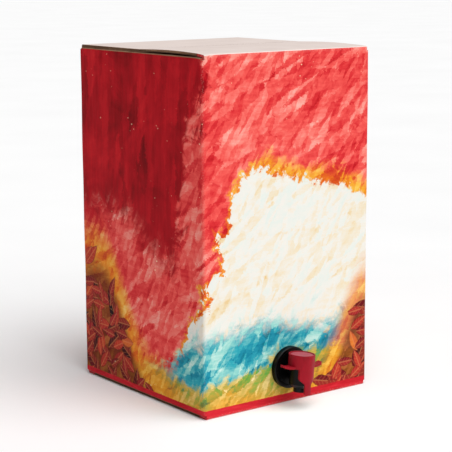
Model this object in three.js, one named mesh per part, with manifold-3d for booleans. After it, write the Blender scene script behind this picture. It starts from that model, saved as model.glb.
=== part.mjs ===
// A 20-litre bag in box: a glued corrugated carton, the filled bag inside it, and a press tap low on the
// front wall. Millimetres, +Z up, front wall towards -Y. The origin is on the floor, in the middle of the
// whole thing, tap included.
import * as THREE from 'three';
import { mergeVertices } from 'three/addons/utils/BufferGeometryUtils.js';
import Module from 'manifold-3d';

const wasm = await Module();
wasm.setup();

// Driving dimensions of the carton
const CARTON_WIDTH = 234;
const CARTON_DEPTH = 242;
const CARTON_HEIGHT = 395;
const BOARD = 3;
const LAYER_GAP = 0.4;
const CORNER_RADIUS = 3.2;
const CREASE_RADIUS = 2.2;
const CREASE_INSIDE = 0.4;
const FLAP_SEAM = 1;
const DUST_FLAP_SPACE = 26;
const SLOT_DEPTH = 5;
const GLUE_TAB = 33;
const GLUE_TAB_END_CUT = 8;

// Driving dimensions of the bag
const BAG_HEADSPACE = 9;
const BAG_CORNER = 20;
const BAG_SHOULDER = 14;
const SEAM_FIN_HEIGHT = 6;
const SEAM_FIN_THICKNESS = 0.8;
const SEAM_FIN_END = 24;
const DIMPLE_SLOPE_WIDTH = 12;

// Driving dimensions that place the tap
const TAP_HEIGHT = 41.5;
const TAP_OFFSET = -0.8;
const TAP_TURN = THREE.MathUtils.degToRad(5);
const FIT = 0.3;

// Driving dimensions of the gland
const NECK_RADIUS = 15.5;
const GLAND_BORE = 13;
const WELD_FLANGE_RADIUS = 26;
const WELD_FLANGE = 1.5;
const NECK_BEHIND = 6;
const GRIP_FLANGE_RADIUS = 23;
const GRIP_FLANGE = 1.8;
const DISC_RADIUS = 23.75;
const DISC_FLANGE = 2.2;
const HOLE_CLEARANCE = 1;
const SLIT_COUNT = 8;
const SLIT_WIDTH = 0.7;
const SLIT_LENGTH = 5.5;

// Driving dimensions of the tap body
const BARREL_WALL = 2.4;
const BARREL_RELIEF = 0.35;
const SEAL_RIB = 1.4;
const REAR_RIB_FROM_END = 4;
const FRONT_RIB_FROM_END = 8.5;
const BARREL_END_SPACE = 2;
const COLLAR = 4.2;
const COLLAR_EDGE = 0.9;
const COLLAR_RIM = 2.6;
const COLLAR_DISH = 1.3;
const INLET_BORE = 5;
const INLET_WALL = 2.4;
const VALVE_OUT = 22.8;
const CHAMBER_RADIUS = 12.6;
const CHAMBER_WALL = 2.3;
const CHAMBER_TOP = 9.6;
const CHAMBER_BOTTOM = -14.5;
const SEAT_TOP = -6.6;
const SEAT_THICKNESS = 1.6;
const SEAT_BORE = 5.6;
const SEAT_CHAMFER = 0.7;
const FUNNEL_HEIGHT = 4.5;
const SPOUT_RADIUS = 7.2;
const SPOUT_TIP_RADIUS = 6.9;
const SPOUT_WALL = 1.4;
const SPOUT_TIP = -23.8;
const GUSSET = 2;
const GUSSET_DROP = 13;
const SNAP_DEPTH = 0.3;
const SNAP_HEIGHT = 6;
const SNAP_WIDTH = 1.6;

// Driving dimensions of the hood
const HOOD_WALL = 2.2;
const HOOD_TOP = 19.3;
const HOOD_EDGE = 0.5;
const HOOD_DRAFT = 0.45;
const HOOD_BOTTOM = 3.7;
const RIM_WALL = 1.8;
const LEDGE = 1.2;
const LEDGE_BORE = 10.4;
const WING_THICKNESS = 2.5;
const WING_EDGE_SLOPE = 0.8;
const WING_SPAN = 28.3;
const WING_LEVEL = 18;
const WING_RISE = 2.6;
const WING_DEPTH = 12;
const WING_TIP_DEPTH = 8;
const WING_TIP_ROUND = 3.6;
const APRON_HALF_WIDTH = 10.2;
const APRON_STRAIGHT = -6;
const APRON_END = -13.6;
const TAIL_WIDTH = 8.4;
const TAIL_TIP = -25;

// Driving dimensions of the button, diaphragm, stem and plug
const BUTTON_TRAVEL = 4;
const BUTTON_EDGE = 1.8;
const BUTTON_DISH = 1.5;
const BUTTON_SKIN = 1.6;
const BUTTON_BOSS_RADIUS = 3.7;
const DIAPHRAGM_RIM_WIDTH = 1.5;
const DIAPHRAGM_SKIN = 0.9;
const DIAPHRAGM_RISE = 2.6;
const HUB_RADIUS = 4.6;
const HUB_HEIGHT = 1.5;
const STEM_RADIUS = 2;
const STEM_SOCKET = 2.4;
const STEM_COLLAR_RADIUS = 3.3;
const STEM_COLLAR = 1;
const FIN_THICKNESS = 1.2;
const FIN_CLEARANCE = 0.4;
const FIN_ABOVE_SEAT = 7.5;
const BARB_RADIUS = 2.8;
const BARB_HEIGHT = 1.1;
const PLUG_RADIUS = 7.2;
const PLUG_HEIGHT = 2.9;
const PLUG_LIP = 0.9;

// Smoothness of round forms
const LARGE_ROUND = 56;
const MIDDLE_ROUND = 40;
const SMALL_ROUND = 24;
const ARC_STEPS = 5;
const OVERSHOOT = 1;
const MERGE_DISTANCE = 1e-4;

// Values worked out from the ones above
const HOOD_RADIUS = CHAMBER_RADIUS + FIT + HOOD_WALL;
const HOOD_BORE = HOOD_RADIUS - RIM_WALL;
const TAP_REACH = VALVE_OUT + HOOD_RADIUS;
const CARTON_BACK_SHIFT = TAP_REACH / 2;
const HALF_WIDTH = CARTON_WIDTH / 2;
const HALF_DEPTH = CARTON_DEPTH / 2;
const FLAP_INSET = BOARD + LAYER_GAP;
const GLAND_FRONT = FIT + DISC_FLANGE;
const GRIP_FRONT = -BOARD - FIT;
const GRIP_REAR = GRIP_FRONT - GRIP_FLANGE;
const GLAND_REAR = GRIP_REAR - NECK_BEHIND - WELD_FLANGE;
const COLLAR_REAR = GLAND_FRONT + FIT;
const COLLAR_FRONT = COLLAR_REAR + COLLAR;
const HOLE_RADIUS = NECK_RADIUS + HOLE_CLEARANCE;
const LEDGE_TOP = HOOD_TOP - BUTTON_TRAVEL - BUTTON_EDGE - HOOD_EDGE - 2 * FIT;
const LEDGE_BOTTOM = LEDGE_TOP - LEDGE;
const CHAMBER_BORE = CHAMBER_RADIUS - CHAMBER_WALL;
const SEAT_BOTTOM = SEAT_TOP - SEAT_THICKNESS;
const BUTTON_TOP = LEDGE_TOP + FIT + BUTTON_TRAVEL + BUTTON_EDGE;
const BUTTON_RADIUS = HOOD_BORE - FIT;
const DISH_UNDER = BUTTON_TOP - BUTTON_DISH - BUTTON_SKIN;
const DIAPHRAGM_TOP = LEDGE_BOTTOM - FIT;
const DIAPHRAGM_BOTTOM = CHAMBER_TOP + FIT;
const HUB_TOP = DIAPHRAGM_TOP + DIAPHRAGM_RISE;
const HUB_BOTTOM = HUB_TOP - HUB_HEIGHT;
const BOSS_BOTTOM = HUB_TOP + FIT;
const PLUG_TOP = SEAT_BOTTOM - FIT;
const PLUG_BOTTOM = PLUG_TOP - PLUG_HEIGHT;

// Materials
const plastic = (color, roughness) => new THREE.MeshStandardMaterial({ color, roughness, metalness: 0 });
const printedBoard = new THREE.MeshStandardMaterial({ color: '#b4262c', roughness: 0.5, metalness: 0 });
const bagFilm = new THREE.MeshStandardMaterial({ color: '#b9bfc6', roughness: 0.3, metalness: 0.4 });
const blackPlastic = plastic('#0d0b0b', 0.4);
const redPlastic = plastic('#a3202b', 0.38);
const redButton = plastic('#a9545e', 0.55);
const whitePlastic = plastic('#d9d6cf', 0.45);
const rubber = plastic('#c9c2b4', 0.8);

// Solids

// A closed solid from a three.js geometry, turned right side out.
function solid(geometry) {
  const bare = geometry.clone();
  bare.deleteAttribute('normal');
  bare.deleteAttribute('uv');
  const merged = mergeVertices(bare, MERGE_DISTANCE);
  const vertProperties = new Float32Array(merged.attributes.position.array);
  const triVerts = new Uint32Array(dropSlivers(merged.index.array));
  const first = new wasm.Manifold(new wasm.Mesh({ numProp: 3, vertProperties, triVerts }));
  if (first.volume() > 0) return first;
  const flipped = triVerts.slice();
  for (let i = 0; i < flipped.length; i += 3) {
    [flipped[i], flipped[i + 1]] = [flipped[i + 1], flipped[i]];
  }
  return new wasm.Manifold(new wasm.Mesh({ numProp: 3, vertProperties, triVerts: flipped }));
}

// The triangles that have three corners of their own.
function dropSlivers(index) {
  const kept = [];
  for (let i = 0; i < index.length; i += 3) {
    const [a, b, c] = [index[i], index[i + 1], index[i + 2]];
    if (a !== b && b !== c && c !== a) kept.push(a, b, c);
  }
  return kept;
}

function joined(...parts) {
  return parts.reduce((sum, part) => sum.add(part));
}

function cut(whole, ...tools) {
  return tools.reduce((rest, tool) => rest.subtract(tool), whole);
}

// The geometry of a solid, ready for a mesh.
function geometryOf(part) {
  const mesh = part.getMesh();
  const geometry = new THREE.BufferGeometry();
  geometry.setAttribute('position', new THREE.BufferAttribute(new Float32Array(mesh.vertProperties), 3));
  geometry.setIndex(new THREE.BufferAttribute(new Uint32Array(mesh.triVerts), 1));
  geometry.computeVertexNormals();
  return geometry;
}

function named(name, part, material) {
  const mesh = new THREE.Mesh(geometryOf(part), material);
  mesh.name = name;
  return mesh;
}

// A block between two corners.
function block([x0, y0, z0], [x1, y1, z1]) {
  const geometry = new THREE.BoxGeometry(x1 - x0, y1 - y0, z1 - z0);
  return solid(geometry.translate((x0 + x1) / 2, (y0 + y1) / 2, (z0 + z1) / 2));
}

// A profile of [radius, height] points turned round the upright axis.
function turnedUpright(profile, steps) {
  const points = [...profile, profile[0]].map(([radius, height]) => new THREE.Vector2(radius, height));
  return solid(new THREE.LatheGeometry(points, steps).rotateX(Math.PI / 2));
}

// A profile of [radius, distance out of the front wall] points turned round the barrel's axis.
function turnedOutward(profile, steps) {
  const points = [...profile, profile[0]].map(([radius, out]) => new THREE.Vector2(radius, -out));
  return solid(new THREE.LatheGeometry(points, steps));
}

// A shape with a plain thickness.
function slab(shape, depth) {
  return new THREE.ExtrudeGeometry(shape, { depth, bevelEnabled: false, curveSegments: ARC_STEPS });
}

// A shape drawn in width and height, pushed from one distance out of the wall to another.
function pushedOutward(shape, from, to) {
  return solid(slab(shape, to - from).rotateX(Math.PI / 2).translate(0, -from, 0));
}

// A shape drawn in depth and height, pushed sideways from one place to another.
function pushedSideways(shape, from, to) {
  return solid(slab(shape, to - from).rotateX(Math.PI / 2).rotateZ(Math.PI / 2).translate(from, 0, 0));
}

// A shape drawn in plan, pushed up from one height to another.
function pushedUp(shape, from, to) {
  return solid(slab(shape, to - from).translate(0, 0, from));
}

function outlineOf(points) {
  return new THREE.Shape(points.map(([a, b]) => new THREE.Vector2(a, b)));
}

// Carton

// One wall with the flap above it and the flap below it, folded from one strip of board. The wall's outer
// face is at -reach, and the flaps run inwards from it to -tip.
function foldedStrip(reach, tip, low, high) {
  const inner = -reach + BOARD + CREASE_INSIDE;
  const outer = -reach + CREASE_RADIUS;
  const floor = low + BOARD + CREASE_INSIDE;
  const ceiling = high - BOARD - CREASE_INSIDE;
  const strip = new THREE.Shape();
  strip.moveTo(-tip, low);
  strip.lineTo(-tip, low + BOARD);
  strip.absarc(inner, floor, CREASE_INSIDE, -Math.PI / 2, Math.PI, true);
  strip.absarc(inner, ceiling, CREASE_INSIDE, Math.PI, Math.PI / 2, true);
  strip.lineTo(-tip, high - BOARD);
  strip.lineTo(-tip, high);
  strip.absarc(outer, high - CREASE_RADIUS, CREASE_RADIUS, Math.PI / 2, Math.PI, false);
  strip.absarc(outer, low + CREASE_RADIUS, CREASE_RADIUS, Math.PI, Math.PI * 1.5, false);
  return strip;
}

// The plan of the four walls: three folded corners, and one square corner where the blank's two ends meet.
function wallPlan(width, depth, radius) {
  const plan = new THREE.Shape();
  plan.moveTo(width, -depth + radius);
  plan.lineTo(width, depth);
  plan.absarc(-width + radius, depth - radius, radius, Math.PI / 2, Math.PI, false);
  plan.absarc(-width + radius, -depth + radius, radius, Math.PI, Math.PI * 1.5, false);
  plan.absarc(width - radius, -depth + radius, radius, -Math.PI / 2, 0, false);
  return plan;
}

// The hole that the gland passes through, with short slits that let its flange in.
function tapHole() {
  const hole = turnedOutward([[0, -BOARD - OVERSHOOT], [HOLE_RADIUS, -BOARD - OVERSHOOT],
    [HOLE_RADIUS, OVERSHOOT], [0, OVERSHOOT]], MIDDLE_ROUND);
  const between = 2 * Math.PI / SLIT_COUNT;
  const slits = Array.from({ length: SLIT_COUNT }, (_, i) => {
    const slit = new THREE.BoxGeometry(SLIT_LENGTH + HOLE_CLEARANCE, BOARD + 2 * OVERSHOOT, SLIT_WIDTH);
    slit.translate(HOLE_RADIUS + (SLIT_LENGTH - HOLE_CLEARANCE) / 2, BOARD / 2, 0);
    return solid(slit.rotateY(i * between + between / 2));
  });
  return joined(hole, ...slits).translate([TAP_OFFSET, -HALF_DEPTH, TAP_HEIGHT]);
}

// The glue tab on the back wall's end, tucked behind the end of the right wall.
function glueTab() {
  const outside = HALF_WIDTH - BOARD - LAYER_GAP;
  const back = HALF_DEPTH - BOARD / 2;
  const front = HALF_DEPTH - BOARD - GLUE_TAB;
  const low = 2 * BOARD + LAYER_GAP + GLUE_TAB_END_CUT;
  const high = CARTON_HEIGHT - low;
  const side = outlineOf([
    [back, low], [back, high],
    [front, high - GLUE_TAB_END_CUT], [front, low + GLUE_TAB_END_CUT],
  ]);
  return pushedSideways(side, outside - BOARD, outside);
}

function cartonSolid() {
  const outerPlan = wallPlan(HALF_WIDTH, HALF_DEPTH, CORNER_RADIUS);
  const innerPlan = wallPlan(HALF_WIDTH - BOARD, HALF_DEPTH - BOARD, CREASE_INSIDE);
  const walls = cut(
    pushedUp(outerPlan, SLOT_DEPTH, CARTON_HEIGHT - SLOT_DEPTH),
    pushedUp(innerPlan, 0, CARTON_HEIGHT),
  );
  const outerReach = HALF_WIDTH - FLAP_INSET;
  const outerStrip = foldedStrip(HALF_DEPTH, FLAP_SEAM / 2, 0, CARTON_HEIGHT);
  const front = pushedSideways(outerStrip, -outerReach, outerReach);
  const dustLow = BOARD + LAYER_GAP;
  const dustStrip = foldedStrip(HALF_WIDTH, DUST_FLAP_SPACE / 2, dustLow, CARTON_HEIGHT - dustLow);
  const dustReach = HALF_DEPTH - FLAP_INSET;
  const left = pushedOutward(dustStrip, -dustReach, dustReach);
  const turned = (part) => part.rotate([0, 0, 180]);
  const endSlit = block(
    [HALF_WIDTH - FLAP_INSET, HALF_DEPTH - FLAP_INSET, SLOT_DEPTH - OVERSHOOT],
    [HALF_WIDTH - BOARD, HALF_DEPTH + OVERSHOOT, CARTON_HEIGHT - SLOT_DEPTH + OVERSHOOT],
  );
  const folded = joined(walls, front, turned(front), left, turned(left));
  return cut(joined(cut(folded, endSlit), glueTab()), tapHole());
}

// Filled bag

function bagSolid() {
  const halfWidth = HALF_WIDTH - BOARD - FIT;
  const halfDepth = HALF_DEPTH - BOARD - FIT;
  const low = 2 * (BOARD + LAYER_GAP) + FIT;
  const high = CARTON_HEIGHT - 2 * (BOARD + LAYER_GAP) - BAG_HEADSPACE;
  const flatWidth = halfWidth - BAG_SHOULDER;
  const flatDepth = halfDepth - BAG_SHOULDER;
  const corner = BAG_CORNER - BAG_SHOULDER;
  const plan = new THREE.Shape();
  plan.absarc(flatWidth - corner, flatDepth - corner, corner, 0, Math.PI / 2, false);
  plan.absarc(-flatWidth + corner, flatDepth - corner, corner, Math.PI / 2, Math.PI, false);
  plan.absarc(-flatWidth + corner, -flatDepth + corner, corner, Math.PI, Math.PI * 1.5, false);
  plan.absarc(flatWidth - corner, -flatDepth + corner, corner, Math.PI * 1.5, Math.PI * 2, false);
  const pillow = new THREE.ExtrudeGeometry(plan, {
    depth: high - low - 2 * BAG_SHOULDER,
    bevelThickness: BAG_SHOULDER,
    bevelSize: BAG_SHOULDER,
    bevelSegments: ARC_STEPS,
    curveSegments: ARC_STEPS,
  });
  const filled = solid(pillow.translate(0, 0, low + BAG_SHOULDER));
  const finReach = flatWidth - SEAM_FIN_END;
  const fin = block([-finReach, -SEAM_FIN_THICKNESS / 2, high - OVERSHOOT],
    [finReach, SEAM_FIN_THICKNESS / 2, high + SEAM_FIN_HEIGHT]);
  const weldFront = GLAND_REAR + WELD_FLANGE + FIT;
  const dimpleRadius = WELD_FLANGE_RADIUS + 2 * FIT;
  const dimple = turnedOutward([[0, weldFront], [dimpleRadius, weldFront],
    [dimpleRadius + DIMPLE_SLOPE_WIDTH, FIT], [0, FIT]], MIDDLE_ROUND);
  const flangeRoom = turnedOutward([[0, GLAND_REAR - FIT], [WELD_FLANGE_RADIUS + FIT, GLAND_REAR - FIT],
    [WELD_FLANGE_RADIUS + FIT, weldFront + FIT], [0, weldFront + FIT]], MIDDLE_ROUND);
  const glandRoom = joined(dimple, flangeRoom).translate([TAP_OFFSET, -HALF_DEPTH, TAP_HEIGHT]);
  const tabInside = HALF_WIDTH - 2 * BOARD - LAYER_GAP - FIT;
  const tabRoom = block([tabInside, HALF_DEPTH - BOARD - GLUE_TAB - FIT, low],
    [HALF_WIDTH, HALF_DEPTH, high]);
  return cut(joined(filled, fin), glandRoom, tabRoom);
}

// Gland

function glandSolid() {
  return turnedOutward([
    [GLAND_BORE, GLAND_REAR], [WELD_FLANGE_RADIUS, GLAND_REAR],
    [WELD_FLANGE_RADIUS, GLAND_REAR + WELD_FLANGE], [NECK_RADIUS, GLAND_REAR + WELD_FLANGE],
    [NECK_RADIUS, GRIP_REAR], [GRIP_FLANGE_RADIUS, GRIP_REAR],
    [GRIP_FLANGE_RADIUS, GRIP_FRONT], [NECK_RADIUS, GRIP_FRONT],
    [NECK_RADIUS, FIT], [DISC_RADIUS, FIT],
    [DISC_RADIUS, GLAND_FRONT], [GLAND_BORE, GLAND_FRONT],
  ], LARGE_ROUND);
}

// Tap body

// The push-in barrel with its two sealing ribs, and the round collar that covers the gland.
function barrelAndCollar() {
  const rib = GLAND_BORE - FIT;
  const plain = rib - BARREL_RELIEF;
  const rear = GLAND_REAR + BARREL_END_SPACE;
  const ribPoints = [rear + REAR_RIB_FROM_END, rear + FRONT_RIB_FROM_END].flatMap((middle) => [
    [plain, middle - SEAL_RIB / 2], [rib, middle - SEAL_RIB / 4],
    [rib, middle + SEAL_RIB / 4], [plain, middle + SEAL_RIB / 2],
  ]);
  const dish = COLLAR_FRONT - COLLAR_DISH;
  const dishRadius = DISC_RADIUS - COLLAR_EDGE - COLLAR_RIM;
  return turnedOutward([
    [0, rear], [plain - COLLAR_EDGE, rear], [plain, rear + COLLAR_EDGE], ...ribPoints,
    [plain, COLLAR_REAR], [DISC_RADIUS - COLLAR_EDGE / 2, COLLAR_REAR],
    [DISC_RADIUS, COLLAR_REAR + COLLAR_EDGE / 2], [DISC_RADIUS, COLLAR_FRONT - COLLAR_EDGE],
    [DISC_RADIUS - COLLAR_EDGE, COLLAR_FRONT], [dishRadius, COLLAR_FRONT],
    [dishRadius - COLLAR_DISH, dish], [0, dish],
  ], LARGE_ROUND);
}

// The outside of the upright valve chamber, from its top to the tip of the spout.
function chamberOutside() {
  const funnelEnd = CHAMBER_BOTTOM - FUNNEL_HEIGHT;
  const groove = CHAMBER_RADIUS - SNAP_DEPTH;
  return turnedUpright([
    [0, CHAMBER_TOP], [CHAMBER_RADIUS, CHAMBER_TOP],
    [CHAMBER_RADIUS, SNAP_HEIGHT + SNAP_WIDTH / 2 + FIT], [groove, SNAP_HEIGHT + SNAP_WIDTH / 4 + FIT],
    [groove, SNAP_HEIGHT - SNAP_WIDTH / 4 - FIT], [CHAMBER_RADIUS, SNAP_HEIGHT - SNAP_WIDTH / 2 - FIT],
    [CHAMBER_RADIUS, CHAMBER_BOTTOM], [SPOUT_RADIUS, funnelEnd],
    [SPOUT_TIP_RADIUS, SPOUT_TIP], [0, SPOUT_TIP],
  ], MIDDLE_ROUND);
}

// The room inside the chamber: above the seat, through it, and down the spout.
function chamberInside() {
  const spoutBore = SPOUT_RADIUS - SPOUT_WALL;
  const funnelStart = CHAMBER_BOTTOM - CHAMBER_WALL / 2;
  const funnelEnd = CHAMBER_BOTTOM - FUNNEL_HEIGHT;
  return turnedUpright([
    [0, CHAMBER_TOP + OVERSHOOT], [CHAMBER_BORE, CHAMBER_TOP + OVERSHOOT],
    [CHAMBER_BORE, SEAT_TOP], [SEAT_BORE, SEAT_TOP],
    [SEAT_BORE, SEAT_BOTTOM + SEAT_CHAMFER], [SEAT_BORE + SEAT_CHAMFER, SEAT_BOTTOM],
    [CHAMBER_BORE, SEAT_BOTTOM], [CHAMBER_BORE, funnelStart],
    [spoutBore, funnelEnd], [SPOUT_TIP_RADIUS - SPOUT_WALL, SPOUT_TIP - OVERSHOOT],
    [0, SPOUT_TIP - OVERSHOOT],
  ], MIDDLE_ROUND);
}

function tapBodySolid() {
  const dish = COLLAR_FRONT - COLLAR_DISH;
  const inletRadius = INLET_BORE + INLET_WALL;
  const inlet = turnedOutward([[0, COLLAR_REAR], [inletRadius, COLLAR_REAR],
    [inletRadius, VALVE_OUT], [0, VALVE_OUT]], MIDDLE_ROUND);
  const gusset = pushedSideways(outlineOf([
    [-COLLAR_REAR - OVERSHOOT, 0], [-COLLAR_REAR - OVERSHOOT, -GUSSET_DROP], [-dish, -GUSSET_DROP],
    [-VALVE_OUT + CHAMBER_BORE + CHAMBER_WALL / 2, CHAMBER_BOTTOM + GUSSET],
    [-VALVE_OUT + CHAMBER_BORE + CHAMBER_WALL / 2, 0],
  ]), -GUSSET / 2, GUSSET / 2);
  const barrelBore = GLAND_BORE - FIT - BARREL_RELIEF - BARREL_WALL;
  const passage = turnedOutward([[0, GLAND_REAR - OVERSHOOT], [barrelBore, GLAND_REAR - OVERSHOOT],
    [barrelBore, COLLAR_REAR - BARREL_WALL], [INLET_BORE, COLLAR_REAR],
    [INLET_BORE, VALVE_OUT], [0, VALVE_OUT]], MIDDLE_ROUND);
  const outside = chamberOutside().translate([0, -VALVE_OUT, 0]);
  const inside = chamberInside().translate([0, -VALVE_OUT, 0]);
  return cut(joined(barrelAndCollar(), inlet, gusset, outside), inside, passage);
}

// Hood

// The cap's tube: the button's guide above the ledge, and the skirt that snaps over the chamber below it.
function hoodTube() {
  const skirtBore = HOOD_RADIUS - HOOD_WALL;
  const bead = skirtBore - SNAP_DEPTH;
  return turnedUpright([
    [HOOD_RADIUS - HOOD_DRAFT, HOOD_BOTTOM],
    [HOOD_RADIUS, HOOD_TOP - HOOD_EDGE], [HOOD_RADIUS - HOOD_EDGE, HOOD_TOP],
    [HOOD_BORE + HOOD_EDGE, HOOD_TOP], [HOOD_BORE, HOOD_TOP - HOOD_EDGE],
    [HOOD_BORE, LEDGE_TOP], [LEDGE_BORE, LEDGE_TOP], [LEDGE_BORE, LEDGE_BOTTOM], [skirtBore, LEDGE_BOTTOM],
    [skirtBore, SNAP_HEIGHT + SNAP_WIDTH / 2], [bead, SNAP_HEIGHT + SNAP_WIDTH / 4],
    [bead, SNAP_HEIGHT - SNAP_WIDTH / 4], [skirtBore, SNAP_HEIGHT - SNAP_WIDTH / 2],
    [skirtBore, HOOD_BOTTOM],
  ], MIDDLE_ROUND);
}

// The two finger wings as one bent plate, with rounded ends in plan.
function wings() {
  const low = HOOD_BOTTOM;
  const high = HOOD_BOTTOM + WING_THICKNESS;
  const bend = (WING_LEVEL + WING_SPAN) / 2;
  const highSpan = WING_SPAN - WING_EDGE_SLOPE;
  const highBend = bend - WING_EDGE_SLOPE;
  const highLevel = WING_LEVEL - WING_EDGE_SLOPE;
  const side = new THREE.Shape();
  side.moveTo(-WING_LEVEL, low);
  side.lineTo(WING_LEVEL, low);
  side.quadraticCurveTo(bend, low, WING_SPAN, low + WING_RISE);
  side.lineTo(highSpan, high + WING_RISE);
  side.quadraticCurveTo(highBend, high, highLevel, high);
  side.lineTo(-highLevel, high);
  side.quadraticCurveTo(-highBend, high, -highSpan, high + WING_RISE);
  side.lineTo(-WING_SPAN, low + WING_RISE);
  side.quadraticCurveTo(-bend, low, -WING_LEVEL, low);
  const root = WING_DEPTH / 2;
  const tip = WING_TIP_DEPTH / 2;
  const reach = WING_SPAN - WING_TIP_ROUND;
  const plan = new THREE.Shape();
  plan.moveTo(-HOOD_RADIUS, -root);
  plan.lineTo(HOOD_RADIUS, -root);
  plan.lineTo(reach, -tip);
  plan.quadraticCurveTo(WING_SPAN, -tip, WING_SPAN, 0);
  plan.quadraticCurveTo(WING_SPAN, tip, reach, tip);
  plan.lineTo(HOOD_RADIUS, root);
  plan.lineTo(-HOOD_RADIUS, root);
  plan.lineTo(-reach, tip);
  plan.quadraticCurveTo(-WING_SPAN, tip, -WING_SPAN, 0);
  plan.quadraticCurveTo(-WING_SPAN, -tip, -reach, -tip);
  const plate = pushedOutward(side, -WING_DEPTH / 2 - OVERSHOOT, WING_DEPTH / 2 + OVERSHOOT);
  return plate.intersect(pushedUp(plan, low - OVERSHOOT, high + WING_RISE + OVERSHOOT));
}

// The front of the skirt runs down as a shield in front of the chamber and narrows to a tail.
function apron() {
  const skirtBore = HOOD_RADIUS - HOOD_WALL;
  const skirtOutside = HOOD_RADIUS - HOOD_DRAFT;
  const root = HOOD_BOTTOM + WING_THICKNESS;
  const tube = turnedUpright([
    [skirtBore, TAIL_TIP - OVERSHOOT], [skirtOutside, TAIL_TIP - OVERSHOOT],
    [skirtOutside, root], [skirtBore, root],
  ], MIDDLE_ROUND);
  const tail = TAIL_WIDTH / 2;
  const round = tail / 2;
  const waist = (APRON_STRAIGHT + APRON_END) / 2;
  const outline = new THREE.Shape();
  outline.moveTo(-APRON_HALF_WIDTH, root);
  outline.lineTo(-APRON_HALF_WIDTH, APRON_STRAIGHT);
  outline.bezierCurveTo(-APRON_HALF_WIDTH, waist, -tail - round, waist, -tail, APRON_END);
  outline.lineTo(-tail, TAIL_TIP + round);
  outline.quadraticCurveTo(-tail, TAIL_TIP, -tail + round, TAIL_TIP);
  outline.lineTo(tail - round, TAIL_TIP);
  outline.quadraticCurveTo(tail, TAIL_TIP, tail, TAIL_TIP + round);
  outline.lineTo(tail, APRON_END);
  outline.bezierCurveTo(tail + round, waist, APRON_HALF_WIDTH, waist, APRON_HALF_WIDTH, APRON_STRAIGHT);
  outline.lineTo(APRON_HALF_WIDTH, root);
  return tube.intersect(pushedOutward(outline, 0, HOOD_RADIUS + OVERSHOOT));
}

function hoodSolid() {
  const inletRoom = INLET_BORE + INLET_WALL + FIT;
  const notch = turnedOutward([
    [0, -HOOD_RADIUS - OVERSHOOT], [inletRoom, -HOOD_RADIUS - OVERSHOOT],
    [inletRoom, 0], [0, 0],
  ], MIDDLE_ROUND);
  const coreRadius = CHAMBER_RADIUS + FIT;
  const coreTop = HOOD_BOTTOM + WING_THICKNESS + OVERSHOOT;
  const core = turnedUpright([
    [0, HOOD_BOTTOM - OVERSHOOT], [coreRadius, HOOD_BOTTOM - OVERSHOOT],
    [coreRadius, coreTop], [0, coreTop],
  ], MIDDLE_ROUND);
  return cut(joined(hoodTube(), cut(wings(), core), apron()), notch);
}

// Button, diaphragm, stem and plug

// The thumb button: a dished disc that slides inside the hood's rim, with a socket for the stem beneath.
function buttonSolid() {
  const socket = STEM_RADIUS + FIT;
  const under = BUTTON_TOP - BUTTON_EDGE;
  const dishRadius = BUTTON_RADIUS - BUTTON_EDGE;
  const socketTop = BOSS_BOTTOM + STEM_SOCKET + FIT;
  const dish = Array.from({ length: ARC_STEPS }, (_, i) => {
    const share = i / ARC_STEPS;
    return [dishRadius * share, BUTTON_TOP - BUTTON_DISH * (1 - share * share)];
  });
  return turnedUpright([
    ...dish, [dishRadius, BUTTON_TOP],
    [BUTTON_RADIUS - FIT, BUTTON_TOP], [BUTTON_RADIUS, BUTTON_TOP - FIT],
    [BUTTON_RADIUS, under], [dishRadius, under], [BUTTON_BOSS_RADIUS + BUTTON_SKIN, DISH_UNDER],
    [BUTTON_BOSS_RADIUS, DISH_UNDER], [BUTTON_BOSS_RADIUS, BOSS_BOTTOM],
    [socket, BOSS_BOTTOM], [socket, socketTop], [0, socketTop],
  ], MIDDLE_ROUND);
}

// The moulded diaphragm that seals the chamber's top and lifts the button again.
function diaphragmSolid() {
  const rimOut = CHAMBER_RADIUS - SNAP_DEPTH;
  const rimIn = rimOut - DIAPHRAGM_RIM_WIDTH;
  const hole = STEM_RADIUS + FIT;
  const middle = (rimIn + HUB_RADIUS) / 2;
  const low = DIAPHRAGM_BOTTOM;
  const skinTop = low + DIAPHRAGM_SKIN;
  return turnedUpright([
    [hole, HUB_BOTTOM], [HUB_RADIUS, HUB_BOTTOM],
    [middle, (low + HUB_BOTTOM) / 2], [rimIn, low], [rimOut, low], [rimOut, DIAPHRAGM_TOP],
    [rimIn, DIAPHRAGM_TOP], [rimIn - DIAPHRAGM_SKIN, skinTop + FIT / 2],
    [middle, (skinTop + HUB_BOTTOM + DIAPHRAGM_SKIN) / 2],
    [HUB_RADIUS, HUB_TOP - FIT], [HUB_RADIUS - FIT, HUB_TOP], [hole, HUB_TOP],
  ], MIDDLE_ROUND);
}

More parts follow.
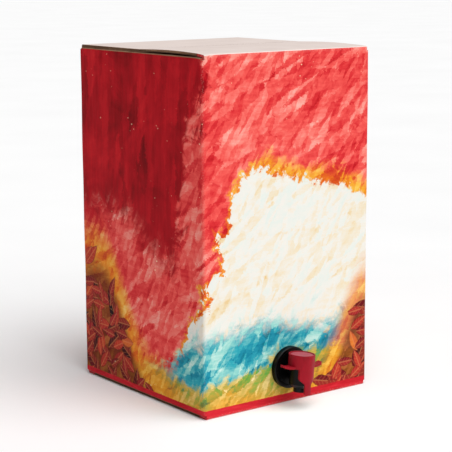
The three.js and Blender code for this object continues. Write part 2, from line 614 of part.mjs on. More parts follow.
// The stem: a rod with a collar under the diaphragm, four guide fins in the seat and a barb for the plug.
function stemSolid() {
  const collarTop = HUB_BOTTOM - FIT;
  const barbTop = PLUG_BOTTOM - FIT;
  const rod = turnedUpright([
    [0, BOSS_BOTTOM + STEM_SOCKET], [STEM_RADIUS, BOSS_BOTTOM + STEM_SOCKET],
    [STEM_RADIUS, collarTop], [STEM_COLLAR_RADIUS, collarTop],
    [STEM_COLLAR_RADIUS, collarTop - STEM_COLLAR], [STEM_RADIUS, collarTop - STEM_COLLAR - BARB_HEIGHT],
    [STEM_RADIUS, barbTop], [BARB_RADIUS, barbTop], [STEM_RADIUS / 2, barbTop - BARB_HEIGHT],
    [0, barbTop - BARB_HEIGHT],
  ], SMALL_ROUND);
  const reach = SEAT_BORE - FIN_CLEARANCE;
  const low = PLUG_TOP + FIT;
  const high = SEAT_TOP + FIN_ABOVE_SEAT;
  const half = FIN_THICKNESS / 2;
  const fin = pushedSideways(outlineOf([
    [-reach, low], [reach, low], [reach, high - reach + STEM_RADIUS], [STEM_RADIUS / 2, high],
    [-STEM_RADIUS / 2, high], [-reach, high - reach + STEM_RADIUS],
  ]), -half, half);
  return joined(rod, fin, fin.rotate([0, 0, 90]));
}

// The soft plug that closes the seat from below.
function plugSolid() {
  const hole = STEM_RADIUS + FIT;
  return turnedUpright([
    [hole, PLUG_TOP], [SEAT_BORE - FIN_CLEARANCE, PLUG_TOP], [PLUG_RADIUS - PLUG_LIP, PLUG_TOP],
    [PLUG_RADIUS, PLUG_TOP - PLUG_LIP], [PLUG_RADIUS, PLUG_TOP - PLUG_LIP - FIT],
    [PLUG_RADIUS - 2 * PLUG_LIP, PLUG_BOTTOM], [hole, PLUG_BOTTOM],
  ], MIDDLE_ROUND);
}

// Assembly

const group = new THREE.Group();

const packed = new THREE.Group();
packed.position.set(0, CARTON_BACK_SHIFT, 0);
packed.add(named('carton', cartonSolid(), printedBoard));
packed.add(named('wine_bag', bagSolid(), bagFilm));
group.add(packed);

const tapPlace = new THREE.Group();
tapPlace.position.set(TAP_OFFSET, CARTON_BACK_SHIFT - HALF_DEPTH, TAP_HEIGHT);
tapPlace.add(named('gland', glandSolid(), blackPlastic));
group.add(tapPlace);

const tap = new THREE.Group();
tap.rotation.y = TAP_TURN;
tap.add(named('tap_body', tapBodySolid(), blackPlastic));
tapPlace.add(tap);

const valve = new THREE.Group();
valve.position.set(0, -VALVE_OUT, 0);
valve.add(named('tap_hood', hoodSolid(), redPlastic));
valve.add(named('press_button', buttonSolid(), redButton));
valve.add(named('diaphragm', diaphragmSolid(), rubber));
valve.add(named('valve_stem', stemSolid(), whitePlastic));
valve.add(named('valve_plug', plugSolid(), rubber));
tap.add(valve);

export default group;
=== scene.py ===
"""A 20-litre bag in box: a printed corrugated carton, the filled bag in it and a press tap on its front."""
import math

import bpy
from mathutils import Matrix, Vector, noise


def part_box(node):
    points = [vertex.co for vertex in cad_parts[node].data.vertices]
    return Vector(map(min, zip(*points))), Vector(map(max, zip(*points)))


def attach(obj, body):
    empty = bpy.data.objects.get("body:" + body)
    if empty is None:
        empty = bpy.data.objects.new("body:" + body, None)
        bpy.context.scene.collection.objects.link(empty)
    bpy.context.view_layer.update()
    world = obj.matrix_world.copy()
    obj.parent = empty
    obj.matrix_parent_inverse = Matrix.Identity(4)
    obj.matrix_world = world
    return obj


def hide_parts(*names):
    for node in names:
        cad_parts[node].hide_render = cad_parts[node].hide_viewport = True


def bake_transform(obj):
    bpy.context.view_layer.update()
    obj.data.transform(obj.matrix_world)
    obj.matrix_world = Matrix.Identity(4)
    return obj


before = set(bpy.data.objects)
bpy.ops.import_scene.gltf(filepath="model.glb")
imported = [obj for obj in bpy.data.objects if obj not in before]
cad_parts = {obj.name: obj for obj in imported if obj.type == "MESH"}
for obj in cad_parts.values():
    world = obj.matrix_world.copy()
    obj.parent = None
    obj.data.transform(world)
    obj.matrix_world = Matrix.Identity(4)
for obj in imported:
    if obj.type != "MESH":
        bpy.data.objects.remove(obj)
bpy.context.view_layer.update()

# Camera
# It stands left of the tap wall and a little above the carton's middle, with a lens long enough that the
# upright edges stay nearly parallel.
MM = 0.001
CARTON_LOW, CARTON_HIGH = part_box("carton")
CARTON_MIDDLE = (CARTON_LOW + CARTON_HIGH) / 2
CAMERA_AZIMUTH = math.radians(-36.99)
CAMERA_ELEVATION = math.radians(10.33)
CAMERA_ROLL = math.radians(-0.28)
CAMERA_DISTANCE = 1.7364
CAMERA_AIM_SIDE = 0.0034
CAMERA_AIM_HEIGHT = 0.1843
CAMERA_LENS = 118.1
CAMERA_SENSOR = 36


def direction(azimuth, elevation):
    """The unit vector from the object towards a place round it, as the CAD views count their angles."""
    return Vector((
        math.sin(azimuth) * math.cos(elevation),
        -math.cos(azimuth) * math.cos(elevation),
        math.sin(elevation),
    ))


aim = Vector((
    CARTON_MIDDLE.x + CAMERA_AIM_SIDE * math.cos(CAMERA_AZIMUTH),
    CARTON_MIDDLE.y + CAMERA_AIM_SIDE * math.sin(CAMERA_AZIMUTH),
    CAMERA_AIM_HEIGHT,
))
view_from = direction(CAMERA_AZIMUTH, CAMERA_ELEVATION)
turn = Matrix.Rotation(CAMERA_AZIMUTH, 4, "Z") @ Matrix.Rotation(math.pi / 2 - CAMERA_ELEVATION, 4, "X")
roll = Matrix.Rotation(CAMERA_ROLL, 4, "Z")
bpy.ops.object.camera_add()
camera = bpy.context.object
camera.data.sensor_width = CAMERA_SENSOR
camera.data.lens = CAMERA_LENS
camera.matrix_world = Matrix.Translation(aim + view_from * CAMERA_DISTANCE) @ turn @ roll
bpy.context.scene.camera = camera


# Corrugated carton
# One blank of 3 mm corrugated board, printed all round, folded to four walls and glued shut with two outer
# and two dust flaps at each end. The liner is plain white on the flaps, and the cut edges are brown.
def paint(code):
    """A colour from its usual six-digit code, as Blender's shaders want it."""
    parts = [int(code[i:i + 2], 16) / 255 for i in (1, 3, 5)]
    linear = [p / 12.92 if p <= 0.04045 else ((p + 0.055) / 1.055) ** 2.4 for p in parts]
    return (*linear, 1.0)


class Value:
    """One output of a shader node. Arithmetic on it adds the Math nodes that work it out."""

    def __init__(self, finish, socket):
        self.finish = finish
        self.socket = socket

    def math(self, operation, *others):
        return self.finish.node("ShaderNodeMath", dict(enumerate((self, *others))), operation=operation)

    def __add__(self, other):
        return self.math("ADD", other)

    def __radd__(self, other):
        return self.math("ADD", other)

    def __sub__(self, other):
        return self.math("SUBTRACT", other)

    def __rsub__(self, other):
        return self.finish.node("ShaderNodeMath", {0: other, 1: self}, operation="SUBTRACT")

    def __mul__(self, other):
        return self.math("MULTIPLY", other)

    def __rmul__(self, other):
        return self.math("MULTIPLY", other)

    def __truediv__(self, other):
        return self.math("DIVIDE", other)

    def __rtruediv__(self, other):
        return self.finish.node("ShaderNodeMath", {0: other, 1: self}, operation="DIVIDE")

    def __abs__(self):
        return self.math("ABSOLUTE")

    def clamped(self):
        return self.finish.node("ShaderNodeClamp", {0: self})

    def rise(self, low, high):
        """0 below low, 1 above high, and smooth between them."""
        inputs = {0: self, 1: low, 2: high, 3: 0.0, 4: 1.0}
        return self.finish.node("ShaderNodeMapRange", inputs, interpolation_type="SMOOTHSTEP")

    def part(self, name):
        """Another output of the same node."""
        return Value(self.finish, self.socket.node.outputs[name])


class Finish:
    """A material on the Principled shader, with its nodes made one by one. x, y and z are millimetres."""

    def __init__(self, name):
        self.material = bpy.data.materials.new(name)
        self.material.use_nodes = True
        self.tree = self.material.node_tree
        self.shader = self.tree.nodes["Principled BSDF"]
        self.place = self.node("ShaderNodeTexCoord", out="Object")
        scaled = self.node("ShaderNodeVectorMath", {0: self.place, "Scale": 1 / MM}, operation="SCALE")
        self.x = self.node("ShaderNodeSeparateXYZ", {0: scaled})
        self.y = self.x.part("Y")
        self.z = self.x.part("Z")

    def feed(self, socket, value):
        """A link, a colour code or a plain number into one socket."""
        if isinstance(value, Value):
            self.tree.links.new(value.socket, socket)
        elif isinstance(value, str):
            socket.default_value = paint(value)
        else:
            socket.default_value = value

    def node(self, kind, inputs=None, out=0, stops=(), **settings):
        """Any node: its settings first, then the values or links of its sockets."""
        made = self.tree.nodes.new(kind)
        for name, value in settings.items():
            setattr(made, name, value)
        if stops:
            ramp = made.color_ramp
            while len(ramp.elements) < len(stops):
                ramp.elements.new(0.5)
            for element, (position, code) in zip(ramp.elements, stops):
                element.position = position
                element.color = paint(code)
        for name, value in (inputs or {}).items():
            self.feed(made.inputs[name], value)
        return Value(self, made.outputs[out])

    def vector(self, x, y, z=0.0):
        return self.node("ShaderNodeCombineXYZ", {0: x, 1: y, 2: z})

    def noise(self, at, scale, detail, roughness=0.5, distortion=0.0):
        return self.node("ShaderNodeTexNoise", {
            "Vector": at, "Scale": scale, "Detail": detail, "Roughness": roughness, "Distortion": distortion,
        })

    def ramp(self, factor, *stops):
        """A colour from a number. Each stop is a position and a colour code."""
        return self.node("ShaderNodeValToRGB", {0: factor}, stops=stops)

    def mix(self, mask, under, over):
        """The colour under, and over where mask is 1."""
        return self.node("ShaderNodeMix", {0: mask, 6: under, 7: over}, out=2, data_type="RGBA")

    def bump(self, height, depth):
        """A relief of the height times the depth in metres."""
        self.set("Normal", self.node("ShaderNodeBump", {"Height": height, "Distance": depth}))

    def set(self, name, value):
        """One of the shader's own sockets."""
        self.feed(self.shader.inputs[name], value)


MERGE_DISTANCE = MM / 100
FLAT_ANGLE = math.radians(0.5)


def select_only(piece):
    """The operators that follow act on this piece alone."""
    bpy.ops.object.select_all(action="DESELECT")
    piece.select_set(True)
    bpy.context.view_layer.objects.active = piece


def working_copy(node, name):
    """A merged copy of a solid, with its flat faces whole again."""
    piece = bpy.data.objects.new(name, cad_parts[node].data.copy())
    bpy.context.scene.collection.objects.link(piece)
    select_only(piece)
    bpy.ops.object.mode_set(mode="EDIT")
    bpy.ops.mesh.select_all(action="SELECT")
    bpy.ops.mesh.customdata_custom_splitnormals_clear()
    bpy.ops.mesh.remove_doubles(threshold=MERGE_DISTANCE)
    bpy.ops.mesh.dissolve_limited(angle_limit=FLAT_ANGLE)
    bpy.ops.object.mode_set(mode="OBJECT")
    return piece


def cut_grid(piece, steps):
    """Plain cuts right through the piece, about a step apart, so that its flat walls can bend a little."""
    select_only(piece)
    bpy.ops.object.mode_set(mode="EDIT")
    for axis, step in enumerate(steps):
        reach = [vertex.co[axis] for vertex in piece.data.vertices]
        low = min(reach)
        length = max(reach) - low
        normal = Vector([float(i == axis) for i in range(3)])
        count = round(length / step)
        for i in range(1, count):
            bpy.ops.mesh.select_all(action="SELECT")
            bpy.ops.mesh.bisect(plane_co=normal * (low + length * i / count), plane_no=normal)
    bpy.ops.object.mode_set(mode="OBJECT")


def shade(piece, angle):
    """Smooth shading, with edges sharper than the angle kept sharp."""
    select_only(piece)
    bpy.ops.object.shade_smooth_by_angle(angle=math.radians(angle))


def coat(piece, finish):
    """The piece's finish, as its one material."""
    piece.data.materials.clear()
    piece.data.materials.append(finish.material)


def dress(piece, finish, body, node):
    """The finish and its slot, the body that the piece rides on, and the solid that it stands for."""
    coat(piece, finish)
    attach(piece, body)
    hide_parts(node)


# The walls swell a little round the full bag, the outer flap bows up along its folded edge, the near left
# corner of the top is knocked in, and the upright creases wander in two waves, in radians a metre. The values
# that start with AT are places, counted in shares of half the carton's size.
CARTON_GRID = (13 * MM, 13.5 * MM, 16.5 * MM)
WALL_SWELL = 0.9 * MM
FLAP_BOW = 1.6 * MM
BOW_IN_MIDDLE = 0.4
CORNER_SINK = 1.1 * MM
CREASE_WANDER = 0.175 * MM
WANDER_SHORT = 61
WANDER_LONG = 23
AT_WALL = 0.97
AT_OUTER_FLAP = 0.984
AT_CREASE = 1.7
AT_CORNER = 1.9

carton = working_copy("carton", "printed_carton")
cut_grid(carton, CARTON_GRID)
carton_half = (CARTON_HIGH - CARTON_LOW) / 2
for vertex in carton.data.vertices:
    away = vertex.co - CARTON_MIDDLE
    share = Vector(away[i] / carton_half[i] for i in range(3))
    upright = math.cos(share.z * math.pi / 2) ** 2
    for side, other in ((0, 1), (1, 0)):
        if abs(share[side]) > AT_WALL:
            swell = upright * math.cos(share[other] * math.pi / 2)
            vertex.co[side] += math.copysign(WALL_SWELL * swell, share[side])
    short_wave = math.sin(vertex.co.z * WANDER_SHORT)
    long_wave = math.sin(vertex.co.z * WANDER_LONG + share.x * 2 + share.y)
    by_crease = max(0.0, abs(share.x) + abs(share.y) - AT_CREASE) / (2 - AT_CREASE)
    vertex.co.x += CREASE_WANDER * by_crease * (short_wave + long_wave)
    if share.z > AT_OUTER_FLAP and share.y < 0:
        bow = BOW_IN_MIDDLE + (1 - BOW_IN_MIDDLE) * abs(share.x)
        vertex.co.z += FLAP_BOW * math.sin(math.pi * -share.y) * bow
    if share.z > AT_WALL:
        by_corner = max(0.0, -share.x - share.y - AT_CORNER) / (2 - AT_CORNER)
        vertex.co.z -= CORNER_SINK * by_corner
shade(carton, 35)

card = Finish("printed_board")
card.set("Specular IOR Level", 0.04)
LEFT = CARTON_LOW.x / MM
RIGHT = CARTON_HIGH.x / MM
FRONT = CARTON_LOW.y / MM
BACK = CARTON_HIGH.y / MM
TOP = CARTON_HIGH.z / MM
DEPTH = BACK - FRONT
BACK_SKIN = 1.6

# The print runs round the carton from one side of the glue joint to the other, so it is drawn on one long
# strip: round_way counts millimetres along the walls, 0 at the middle of the tap wall. The back wall's part
# of it begins within BACK_SKIN of the back.
on_sides = card.x + card.x.math("SIGN") * (card.y - FRONT)
on_back = (card.y - (BACK - BACK_SKIN)).rise(-0.3, 0.3)
round_way = (1 - on_back) * on_sides + on_back * (2 * LEFT - DEPTH - card.x)
height = card.z

# Brush marks of every size on that strip, from washes of a hand's width down to single bristles.
flat = card.vector(round_way, height)
cloudy = card.noise(flat, 0.013, 5, 0.62, 0.9)
blotchy = card.noise(flat, 0.045, 5, 0.68, 1.1)
streaky = card.noise(card.vector(round_way * 0.14, height), 0.12, 5, 0.72, 0.6)
drippy = card.noise(card.vector(round_way, height * 0.15), 0.11, 5, 0.7, 0.5)
bristly = card.noise(card.vector(round_way, height * 0.06), 0.75, 4, 0.7, 0.2)
speckled = card.noise(flat, 0.42, 4, 0.72)


def strokes(length, width, slant, seed):
    """One random number for each long brush stroke laid side by side at a slant."""
    lean = math.radians(slant)
    along = round_way * (math.cos(lean) / length) + height * (math.sin(lean) / length)
    across = height * (math.cos(lean) / width) - round_way * (math.sin(lean) / width)
    bent_along = along + (blotchy - 0.5) * 1.3 + seed
    bent_across = across + (speckled - 0.5) * 0.9 + (cloudy - 0.5) * 2
    at = card.vector(bent_along, bent_across)
    stroke = card.node("ShaderNodeTexVoronoi", {"Vector": at, "Scale": 1.0}, voronoi_dimensions="2D")
    return card.node("ShaderNodeSeparateXYZ", {0: stroke.part("Color")})


upright_strokes = strokes(length=58, width=13, slant=84, seed=3)
slanted_strokes = strokes(length=44, width=9, slant=28, seed=11)
small_strokes = strokes(length=17, width=5, slant=60, seed=23)

ragged = (blotchy - 0.5) * 58 + (small_strokes - 0.5) * 9 + (speckled - 0.5) * 16
brushed = cloudy * 0.5 + drippy * 0.24 + upright_strokes * 0.14 + bristly * 0.12
crossed = blotchy * 0.34 + streaky * 0.3 + slanted_strokes * 0.2 + small_strokes * 0.16
painted_way = round_way + (cloudy - 0.5) * 120 + (blotchy - 0.5) * 40

RIPPLE_LENGTH = 0.37
RIPPLE_SWING = 0.3


def wave(level, swing, length, phase, fall, start=-34, run=150):
    """The height of one painted hill's edge, which falls away over a run left of its start."""
    hill = (painted_way / length + phase).math("SINE") * swing
    ripple = (painted_way / (length * RIPPLE_LENGTH) + phase * 2).math("SINE") * (swing * RIPPLE_SWING)
    return level + hill + ripple - (start - painted_way).rise(0, run) * fall


def painted(under, edge, colour, rough, soft):
    """The colour painted over everything below the edge, with a brushed rim."""
    mask = (edge - height + ragged * rough).rise(-soft, soft)
    return card.mix(mask, under, colour)


crimson = card.ramp(
    brushed, (0.28, "#520208"), (0.40, "#8a0610"), (0.50, "#ad0c1a"), (0.60, "#c61722"), (0.76, "#e04038"),
)
coral = card.ramp(
    crossed, (0.26, "#b8121c"), (0.39, "#d93236"), (0.50, "#ec5650"), (0.60, "#f27b70"), (0.76, "#f6bcae"),
)
amber = card.ramp(
    crossed, (0.26, "#c2321a"), (0.40, "#de6a18"), (0.52, "#eb9a22"), (0.66, "#f3c04a"), (0.80, "#f9e3a2"),
)
cream = card.ramp(
    crossed, (0.24, "#e2bd78"), (0.36, "#e9d9b8"), (0.52, "#eae7df"), (0.68, "#dfe6df"), (0.82, "#b3d5cd"),
)
lagoon = card.ramp(
    crossed, (0.26, "#0f5f63"), (0.38, "#1c86a0"), (0.48, "#34a6b4"), (0.60, "#93d3cb"), (0.78, "#e6f4ec"),
)
meadow = card.ramp(
    crossed, (0.28, "#23704a"), (0.40, "#6aa845"), (0.52, "#bba84c"), (0.66, "#e6d28c"), (0.80, "#f7ecc6"),
)
umber = card.ramp(crossed, (0.3, "#23090c"), (0.5, "#5c1216"), (0.7, "#a32a22"))

coral_edge = wave(level=440, swing=26, length=61, phase=0.4, fall=262, start=-96, run=90)
amber_edge = wave(level=252, swing=26, length=71, phase=2.0, fall=190)
cream_edge = wave(level=238, swing=27, length=71, phase=2.05, fall=196)
lagoon_edge = wave(level=104, swing=17, length=52, phase=4.2, fall=66)
meadow_edge = wave(level=50, swing=9, length=37, phase=1.1, fall=18)

print_colour = painted(crimson, coral_edge, coral, rough=1.2, soft=30)
print_colour = painted(print_colour, amber_edge, amber, rough=0.8, soft=12)
print_colour = painted(print_colour, cream_edge, cream, rough=0.86, soft=3)
print_colour = painted(print_colour, lagoon_edge, lagoon, rough=0.9, soft=12)
print_colour = painted(print_colour, meadow_edge, meadow, rough=0.6, soft=6)


def hump(way, middle, width, tall):
    """A smooth rise of the leaf bank round one place."""
    away_from_middle = (way - middle) / width
    return (away_from_middle * away_from_middle * -1).math("EXPONENT") * tall


def bank(way):
    """How high the painted leaves are heaped at a place along the strip."""
    left_side = hump(way, middle=-338, width=92, tall=168)
    tap_side = hump(way, middle=108, width=46, tall=118)
    right_side = hump(way, middle=268, width=88, tall=140)
    back_side = hump(way, middle=-520, width=66, tall=128)
    ripple = (way / 17).math("SINE") * 6
    return left_side + tap_side + right_side + back_side + ripple - 20


glow = (bank(round_way) + 34 - height + ragged * 0.8).rise(-26, 22)
print_colour = card.mix(glow * 0.86, print_colour, amber)
leaf_shade = (bank(round_way) - 4 - height + ragged * 0.5).rise(-12, 16)
print_colour = card.mix(leaf_shade * 0.8, print_colour, umber)

# A leaf's length, width and vein spacing are shares of its size. LEAF_TURN is in radians, and LEAF_SCATTER
# and RIB_WIDTH are in millimetres.
LEAF_TURN = 3.6
LEAF_HALF_LENGTH = 0.52
LEAF_HALF_WIDTH = 0.21
LEAF_TAPER = 0.42
LEAF_SCATTER = 42
LEAF_DISORDER = 0.7
VEIN_SPACING = 0.16
VEIN_SLANT = 0.8
RIB_WIDTH = 0.75


def leaves(under, size, across, up, tones):
    """Painted leaves of one size, each turned its own way, wherever the bank reaches."""
    at = card.vector(round_way + across, height + up)
    spots = {"Vector": at, "Scale": 1 / size, "Randomness": LEAF_DISORDER}
    found = card.node("ShaderNodeTexVoronoi", spots, voronoi_dimensions="2D")
    own = card.node("ShaderNodeSeparateXYZ", {0: found.part("Color")})
    middle = card.node("ShaderNodeSeparateXYZ", {0: found.part("Position")})
    leaf_way = middle - across
    leaf_height = middle.part("Y") - up
    sideways = round_way - leaf_way
    upwards = height - leaf_height
    turned = (own - 0.5) * LEAF_TURN
    sine = turned.math("SINE")
    cosine = turned.math("COSINE")
    along = (sideways * sine + upwards * cosine) / (size * LEAF_HALF_LENGTH)
    aside = sideways * cosine - upwards * sine + (speckled - 0.5) * 2.4
    off_rib = abs(aside)
    belly = (1 - along * along) * (1 - along * LEAF_TAPER) * (size * LEAF_HALF_WIDTH)
    scattered = (own.part("Y") - 0.5) * LEAF_SCATTER
    shows = (bank(leaf_way) - leaf_height + scattered).rise(-1, 1)
    mask = (belly - off_rib + (blotchy - 0.5) * 2).rise(0, 1.1) * shows
    colour = card.ramp(own.part("Z") * 0.5 + crossed * 0.5, *tones)
    colour = card.mix(aside.rise(-0.4, 0.4) * 0.42, colour, "#b9402f")
    vein_way = off_rib * VEIN_SLANT - along * (size * 0.5)
    veins = (vein_way * (math.tau / (size * VEIN_SPACING))).math("SINE").rise(0.72, 1)
    rib = (RIB_WIDTH - off_rib).rise(-0.3, 0.3).math("MAXIMUM", veins * 0.6)
    colour = card.mix(rib * 0.4, colour, "#dd8a58")
    dark_rim = 1 - (belly - off_rib).rise(0.4, 2.2)
    colour = card.mix(dark_rim * 0.5, colour, "#1c070a")
    return card.mix(mask, under, colour)


DARK_LEAVES = ((0.25, "#1f0a0e"), (0.5, "#4f1117"), (0.75, "#7d1a20"))
WARM_LEAVES = ((0.25, "#5e1118"), (0.5, "#99202a"), (0.75, "#c7402c"))
BRIGHT_LEAVES = ((0.25, "#8a1820"), (0.5, "#c1382b"), (0.75, "#e58a35"))
print_colour = leaves(print_colour, size=44, across=0, up=7, tones=DARK_LEAVES)
print_colour = leaves(print_colour, size=38, across=19, up=22, tones=WARM_LEAVES)
print_colour = leaves(print_colour, size=34, across=7, up=3, tones=DARK_LEAVES)
print_colour = leaves(print_colour, size=30, across=31, up=14, tones=BRIGHT_LEAVES)
print_colour = leaves(print_colour, size=27, across=12, up=30, tones=WARM_LEAVES)

spatter = card.node("ShaderNodeTexVoronoi", {"Vector": flat, "Scale": 0.12, "Randomness": 1.0})
drop_size = card.noise(flat, 0.021, 2) * 3.4 - 1.3
drops = (drop_size * 0.12 - spatter).rise(0, 0.05)
print_colour = card.mix(drops * 0.9, print_colour, "#f6e4bf")

# A plain red band runs round the foot.
BAND_TOP = 10.5
band = card.ramp(streaky, (0.35, "#b51822"), (0.6, "#d42a36"), (0.75, "#e04a4a"))
in_band = (BAND_TOP - height + (speckled - 0.5) * 1.5).rise(-0.4, 0.4)
print_colour = card.mix(in_band, print_colour, band)

# The liner is scuffed pale along the folds and corners: real wear, and a painted highlight on the creases.
CREASE_WEAR_AND_HIGHLIGHT = 3.2
END_WEAR_AND_HIGHLIGHT = 4.6
from_side = RIGHT - abs(card.x)
from_front = DEPTH / 2 - abs(card.y - (FRONT + BACK) / 2)
from_end = TOP / 2 - abs(height - TOP / 2)
scuffed = card.noise(flat, 0.8, 5, 0.75)
crease_wear_and_highlight = (CREASE_WEAR_AND_HIGHLIGHT - (from_side + from_front)).rise(0, 2.6) * (scuffed - 0.53).rise(0, 0.08)
end_wear_and_highlight = (END_WEAR_AND_HIGHLIGHT - from_end).rise(0, 3) * (scuffed - 0.52).rise(0, 0.1)
wear_and_highlight = crease_wear_and_highlight.math("MAXIMUM", end_wear_and_highlight)
card.set("Base Color", card.mix(wear_and_highlight * 0.55, print_colour, "#dfc0b2"))
card.set("Roughness", (0.42 + speckled * 0.16 + wear_and_highlight * 0.3).clamped())
FLUTE_PITCH = 6.4
FLUTE_TURN = math.tau / FLUTE_PITCH
BOARD_RELIEF = 0.6 * MM
card_flutes = (round_way * FLUTE_TURN).math("SINE")
card_fibres = card.noise(card.place, 900, 4, 0.6)
card.bump(card_flutes * 0.03 + card_fibres * 0.12 + cloudy * 1.2 + crossed * 0.12, BOARD_RELIEF)

# The flaps' outside is plain white liner, with the flutes just showing through it.
liner = Finish("white_liner")
liner.set("Specular IOR Level", 0.15)
liner_clouds = liner.noise(liner.place, 26, 5, 0.6)
liner_fibres = liner.noise(liner.place, 700, 4, 0.65)
liner_flutes = (liner.x * FLUTE_TURN).math("SINE")
liner_tone = liner_clouds * 0.7 + liner_fibres * 0.3
liner.set("Base Color", liner.ramp(liner_tone, (0.25, "#dfd0c9"), (0.5, "#e8d9d2"), (0.75, "#ecdfd9")))
liner.set("Roughness", 0.6 + liner_clouds * 0.15)
liner.bump(liner_flutes * 0.06 + liner_fibres * 0.15 + liner_clouds * 0.8, BOARD_RELIEF)

# The cut edges and the inside are brown: two thin liners with the flute between them, painted dark as shade.
FLAP_CORE_BELOW_TOP = 1.5
CORE_HALF = 1.05
CORE_OFFSET = 0.2
FLUTE_SWING = 0.28
kraft = Finish("kraft_board")
kraft.set("Specular IOR Level", 0.12)
kraft_fibres = kraft.noise(kraft.place, 420, 5, 0.7)
kraft_clouds = kraft.noise(kraft.place, 40, 4, 0.6)
from_core = abs(TOP / 2 - FLAP_CORE_BELOW_TOP - abs(kraft.z - TOP / 2)) - CORE_OFFSET
cut_flutes = (kraft.x * FLUTE_TURN).math("SINE") * FLUTE_SWING
in_core = (CORE_HALF - abs(from_core + cut_flutes)).rise(0, 0.5)
# Painted shade in the hollows of the flute between the two liners.
flute_shadow = in_core * (kraft_fibres * 0.6 + 0.35)
kraft_tone = kraft_fibres * 0.5 + kraft_clouds * 0.5
kraft_colour = kraft.ramp(kraft_tone, (0.32, "#684837"), (0.5, "#86654e"), (0.68, "#a58568"))
kraft.set("Base Color", kraft.mix(flute_shadow.clamped(), kraft_colour, "#3b2417"))
kraft.set("Roughness", 0.8 + kraft_clouds * 0.1)
kraft.bump(kraft_fibres * 0.5 - flute_shadow * 0.6, 0.5 * MM)

dress(carton, card, "filled_carton", "carton")
carton.data.materials.append(liner.material)
carton.data.materials.append(kraft.material)
PRINT, LINER, KRAFT = range(3)
SKIN_TOLERANCE = 2.4 * MM
CREASE_ROUND = 3.4 * MM
FACES_OUT = 0.3
FACES_UP = 0.6


def board_side(face):
    """Which side of the board a face belongs to: printed wall, white flap, or cut edge and inside."""
    out = face.center - CARTON_MIDDLE
    behind = [carton_half[i] - abs(out[i]) for i in range(3)]
    outward = [face.normal[i] * out[i] > 0 for i in range(3)]
    faces_side = outward[0] and abs(face.normal.x) > FACES_OUT
    faces_front = outward[1] and abs(face.normal.y) > FACES_OUT
    on_side = faces_side and behind[0] < SKIN_TOLERANCE
    on_front = faces_front and behind[1] < SKIN_TOLERANCE
    near_crease = behind[0] < CREASE_ROUND and behind[1] < CREASE_ROUND
    on_crease = near_crease and (faces_side or faces_front)
    level = abs(face.normal.z) >= FACES_UP
    if not level and (on_side or on_front or on_crease):
        return PRINT
    if level and outward[2] and behind[2] < SKIN_TOLERANCE:
        return LINER
    return KRAFT


for face in carton.data.polygons:
    face.material_index = board_side(face)


# Filled bag
# Two webs of metallised film welded round the edge and filled with 20 litres, so that it lies against the
# board on every side. The weld stands up in the headspace as a fin, and the gland is welded to its front.
BAG_GRID = 8 * MM
BAG_CREASE = 2.2 * MM
BAG_FOLD = 4.2 * MM
CREASES_ROUND = 34
CREASES_UP = 15
FOLDS_ROUND = 62
FOLDS_UP = 9
FOLD_ZONE = 0.6
AT_SHOULDER = 0.93
AT_BAG_MIDDLE = 0.05
FIN_SWAY = 2.1 * MM
FIN_WAVE = 74
FIN_RIPPLE = 191

bag = working_copy("wine_bag", "filled_bag")
cut_grid(bag, (BAG_GRID, BAG_GRID, BAG_GRID))
BAG_LOW, BAG_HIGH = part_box("wine_bag")
bag_middle = (BAG_LOW + BAG_HIGH) / 2
bag_half = (BAG_HIGH - BAG_LOW) / 2
fin_root = max(v.co.z for v in bag.data.vertices if abs(v.co.x) > bag_half.x * AT_SHOULDER)
for vertex in bag.data.vertices:
    x, y, z = vertex.co
    if z > fin_root:
        sway = math.sin(x * FIN_WAVE) + 0.5 * math.sin(x * FIN_RIPPLE + 1)
        vertex.co.y += FIN_SWAY * sway * (z - fin_root) / (BAG_HIGH.z - fin_root)
        continue
    share = Vector((vertex.co - bag_middle)[i] / bag_half[i] for i in range(3))
    crease = abs(noise.noise(Vector((x * CREASES_ROUND, y * CREASES_ROUND, z * CREASES_UP)))) * 2
    fold = abs(noise.noise(Vector((x * FOLDS_ROUND, y * FOLDS_ROUND, z * FOLDS_UP + 4)))) * 2
    near_end = max(0.0, abs(share.z) - FOLD_ZONE) / (1 - FOLD_ZONE)
    pull = BAG_CREASE * min(1.0, crease) + BAG_FOLD * min(1.0, fold) * near_end
    inward = Vector((share.x ** 5, share.y ** 5, share.z ** 7))
    if inward.length > AT_BAG_MIDDLE:
        vertex.co -= inward.normalized() * pull
shade(bag, 50)

film = Finish("bag_film")
film.set("Metallic", 0.8)
film.set("IOR", 1.45)
film_creases = film.noise(film.vector(film.x, film.y, film.z * 0.35), 0.03, 3, 0.45, 1.8)
film_haze = film.noise(film.place, 14, 3, 0.5)
film.set("Base Color", film.ramp(film_haze, (0.3, "#aeb4ba"), (0.7, "#cdd1d5")))
film.set("Roughness", 0.2 + film_haze * 0.1)
film.bump(film_creases, 4 * MM)
dress(bag, film, "filled_carton", "wine_bag")


# Gland
# Black moulded neck. Its inner flange is welded to the bag, and two outer flanges grip the edge of the
# carton's hole, the front one showing as a thin dark ring behind the tap.
MOULD_TEXTURE = 0.06 * MM


def finished_edges(piece, width, angle=32):
    """Small moulded radii on the piece's sharp edges, and even shading on its flat faces."""
    select_only(piece)
    bevel = piece.modifiers.new("moulded_edges", "BEVEL")
    bevel.width = width
    bevel.segments = 2
    bevel.limit_method = "ANGLE"
    bevel.angle_limit = math.radians(angle)
    bpy.ops.object.modifier_apply(modifier=bevel.name)
    shade(piece, angle)
    flats = piece.modifiers.new("flat_faces", "WEIGHTED_NORMAL")
    flats.keep_sharp = True
    bpy.ops.object.modifier_apply(modifier=flats.name)


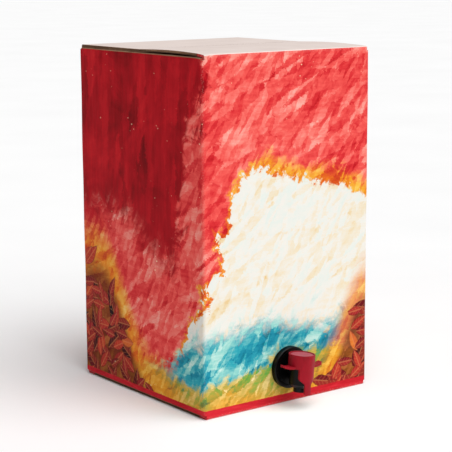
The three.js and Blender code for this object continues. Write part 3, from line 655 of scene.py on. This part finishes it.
def moulded(name, base, pale, rough, gloss=0.3):
    """Moulded plastic: faint flow marks, fine spark texture and rubbed edges."""
    finish = Finish(name)
    finish.set("Specular IOR Level", gloss)
    flow = finish.noise(finish.place, 90, 4, 0.6, 0.7)
    grain = finish.noise(finish.place, 2600, 3, 0.6)
    rubbed = (finish.node("ShaderNodeNewGeometry", out="Pointiness") - 0.52).rise(0, 0.08) * flow
    paleness = (flow * 0.5 + rubbed * 0.6).clamped()
    finish.set("Base Color", finish.mix(paleness, base, pale))
    finish.set("Roughness", (rough + (flow - 0.5) * 0.16 + rubbed * 0.2).clamped())
    finish.bump(grain * 0.6 + flow * 0.8, MOULD_TEXTURE)
    return finish


black = moulded("black_plastic", "#020202", "#0a0808", rough=0.36, gloss=0.16)
gland = working_copy("gland", "weld_gland")
finished_edges(gland, 0.25 * MM)
dress(gland, black, "filled_carton", "gland")


# Tap body
# One black moulding: the ribbed barrel pushed into the gland, the round collar over it, and the upright
# valve chamber that runs down to the spout.
tap_body = working_copy("tap_body", "black_tap_body")
finished_edges(tap_body, 0.22 * MM)
dress(tap_body, black, "tap", "tap_body")


# Hood
# Red moulding snapped over the chamber: the button's guide rim, two finger wings, and the front shield that
# narrows to a tail before the spout.
red = moulded("red_plastic", "#800413", "#a81024", rough=0.36, gloss=0.16)
hood = working_copy("tap_hood", "red_tap_hood")
finished_edges(hood, 0.3 * MM)
dress(hood, red, "tap", "tap_hood")


# Press button
# Dished thumb button in a softer, matt red, with a paler, pinker colour that is a painted sheen. It slides
# inside the hood's rim, pushed down by the thumb and lifted again by the diaphragm under it.
sheen_painted_red = moulded("red_button", "#a8404c", "#bf6670", rough=0.5)
button = working_copy("press_button", "thumb_button")
finished_edges(button, 0.2 * MM)
dress(button, sheen_painted_red, "button", "press_button")


# Stem and plug
# White rod with four guide fins and a barb, snapped into the button's socket above, and the soft plug on its
# lower end that closes the seat from below.
white = moulded("white_plastic", "#d5d2ca", "#e6e4de", rough=0.42)
stem = working_copy("valve_stem", "finned_stem")
finished_edges(stem, 0.12 * MM, angle=40)
dress(stem, white, "button", "valve_stem")

rubber = moulded("soft_seal", "#b9b1a1", "#cfc8ba", rough=0.72)
plug = working_copy("valve_plug", "soft_plug")
finished_edges(plug, 0.15 * MM)
dress(plug, rubber, "button", "valve_plug")


# Diaphragm
# Soft moulding clamped by its rim between hood and chamber. Its hub grips the stem.
diaphragm = working_copy("diaphragm", "soft_diaphragm")
shade(diaphragm, 35)
coat(diaphragm, rubber)
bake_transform(diaphragm)
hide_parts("diaphragm")


# Floor and light
# A plain pale floor that runs out of sight, one broad soft sun that lights the tap wall and leaves the left
# wall in shade, and an even pale sky.
FLOOR_SIZE = 90
SUN_AZIMUTH = math.radians(8)
SUN_ELEVATION = math.radians(57)
SUN_POWER = 3.05
SUN_SPREAD = math.radians(70)
SUN_DISTANCE = 2
SKY_STRENGTH = 0.2

bpy.ops.mesh.primitive_plane_add(size=FLOOR_SIZE, location=(0, 0, 0))
floor = bpy.context.object
floor.name = "pale_floor"
floor_finish = Finish("pale_floor")
floor_finish.set("Specular IOR Level", 0.1)
floor_mottle = floor_finish.noise(floor_finish.place, 3, 3, 0.5)
floor_finish.set("Base Color", floor_finish.ramp(floor_mottle, (0.3, "#fcfcfc"), (0.7, "#ffffff")))
floor_finish.set("Roughness", 0.8 + floor_mottle * 0.1)
floor.data.materials.append(floor_finish.material)

sun_from = direction(SUN_AZIMUTH, SUN_ELEVATION)
bpy.ops.object.light_add(type="SUN", location=CARTON_MIDDLE + sun_from * SUN_DISTANCE)
key_light = bpy.context.object
key_light.name = "key_light"
key_light.data.energy = SUN_POWER
key_light.data.angle = SUN_SPREAD
key_light.rotation_euler = sun_from.to_track_quat("Z", "Y").to_euler()

world = bpy.data.worlds.new("studio")
bpy.context.scene.world = world
world.use_nodes = True
sky = world.node_tree.nodes["Background"]
sky.inputs["Color"].default_value = paint("#ffffff")
sky.inputs["Strength"].default_value = SKY_STRENGTH
bpy.context.scene.view_settings.view_transform = "Standard"
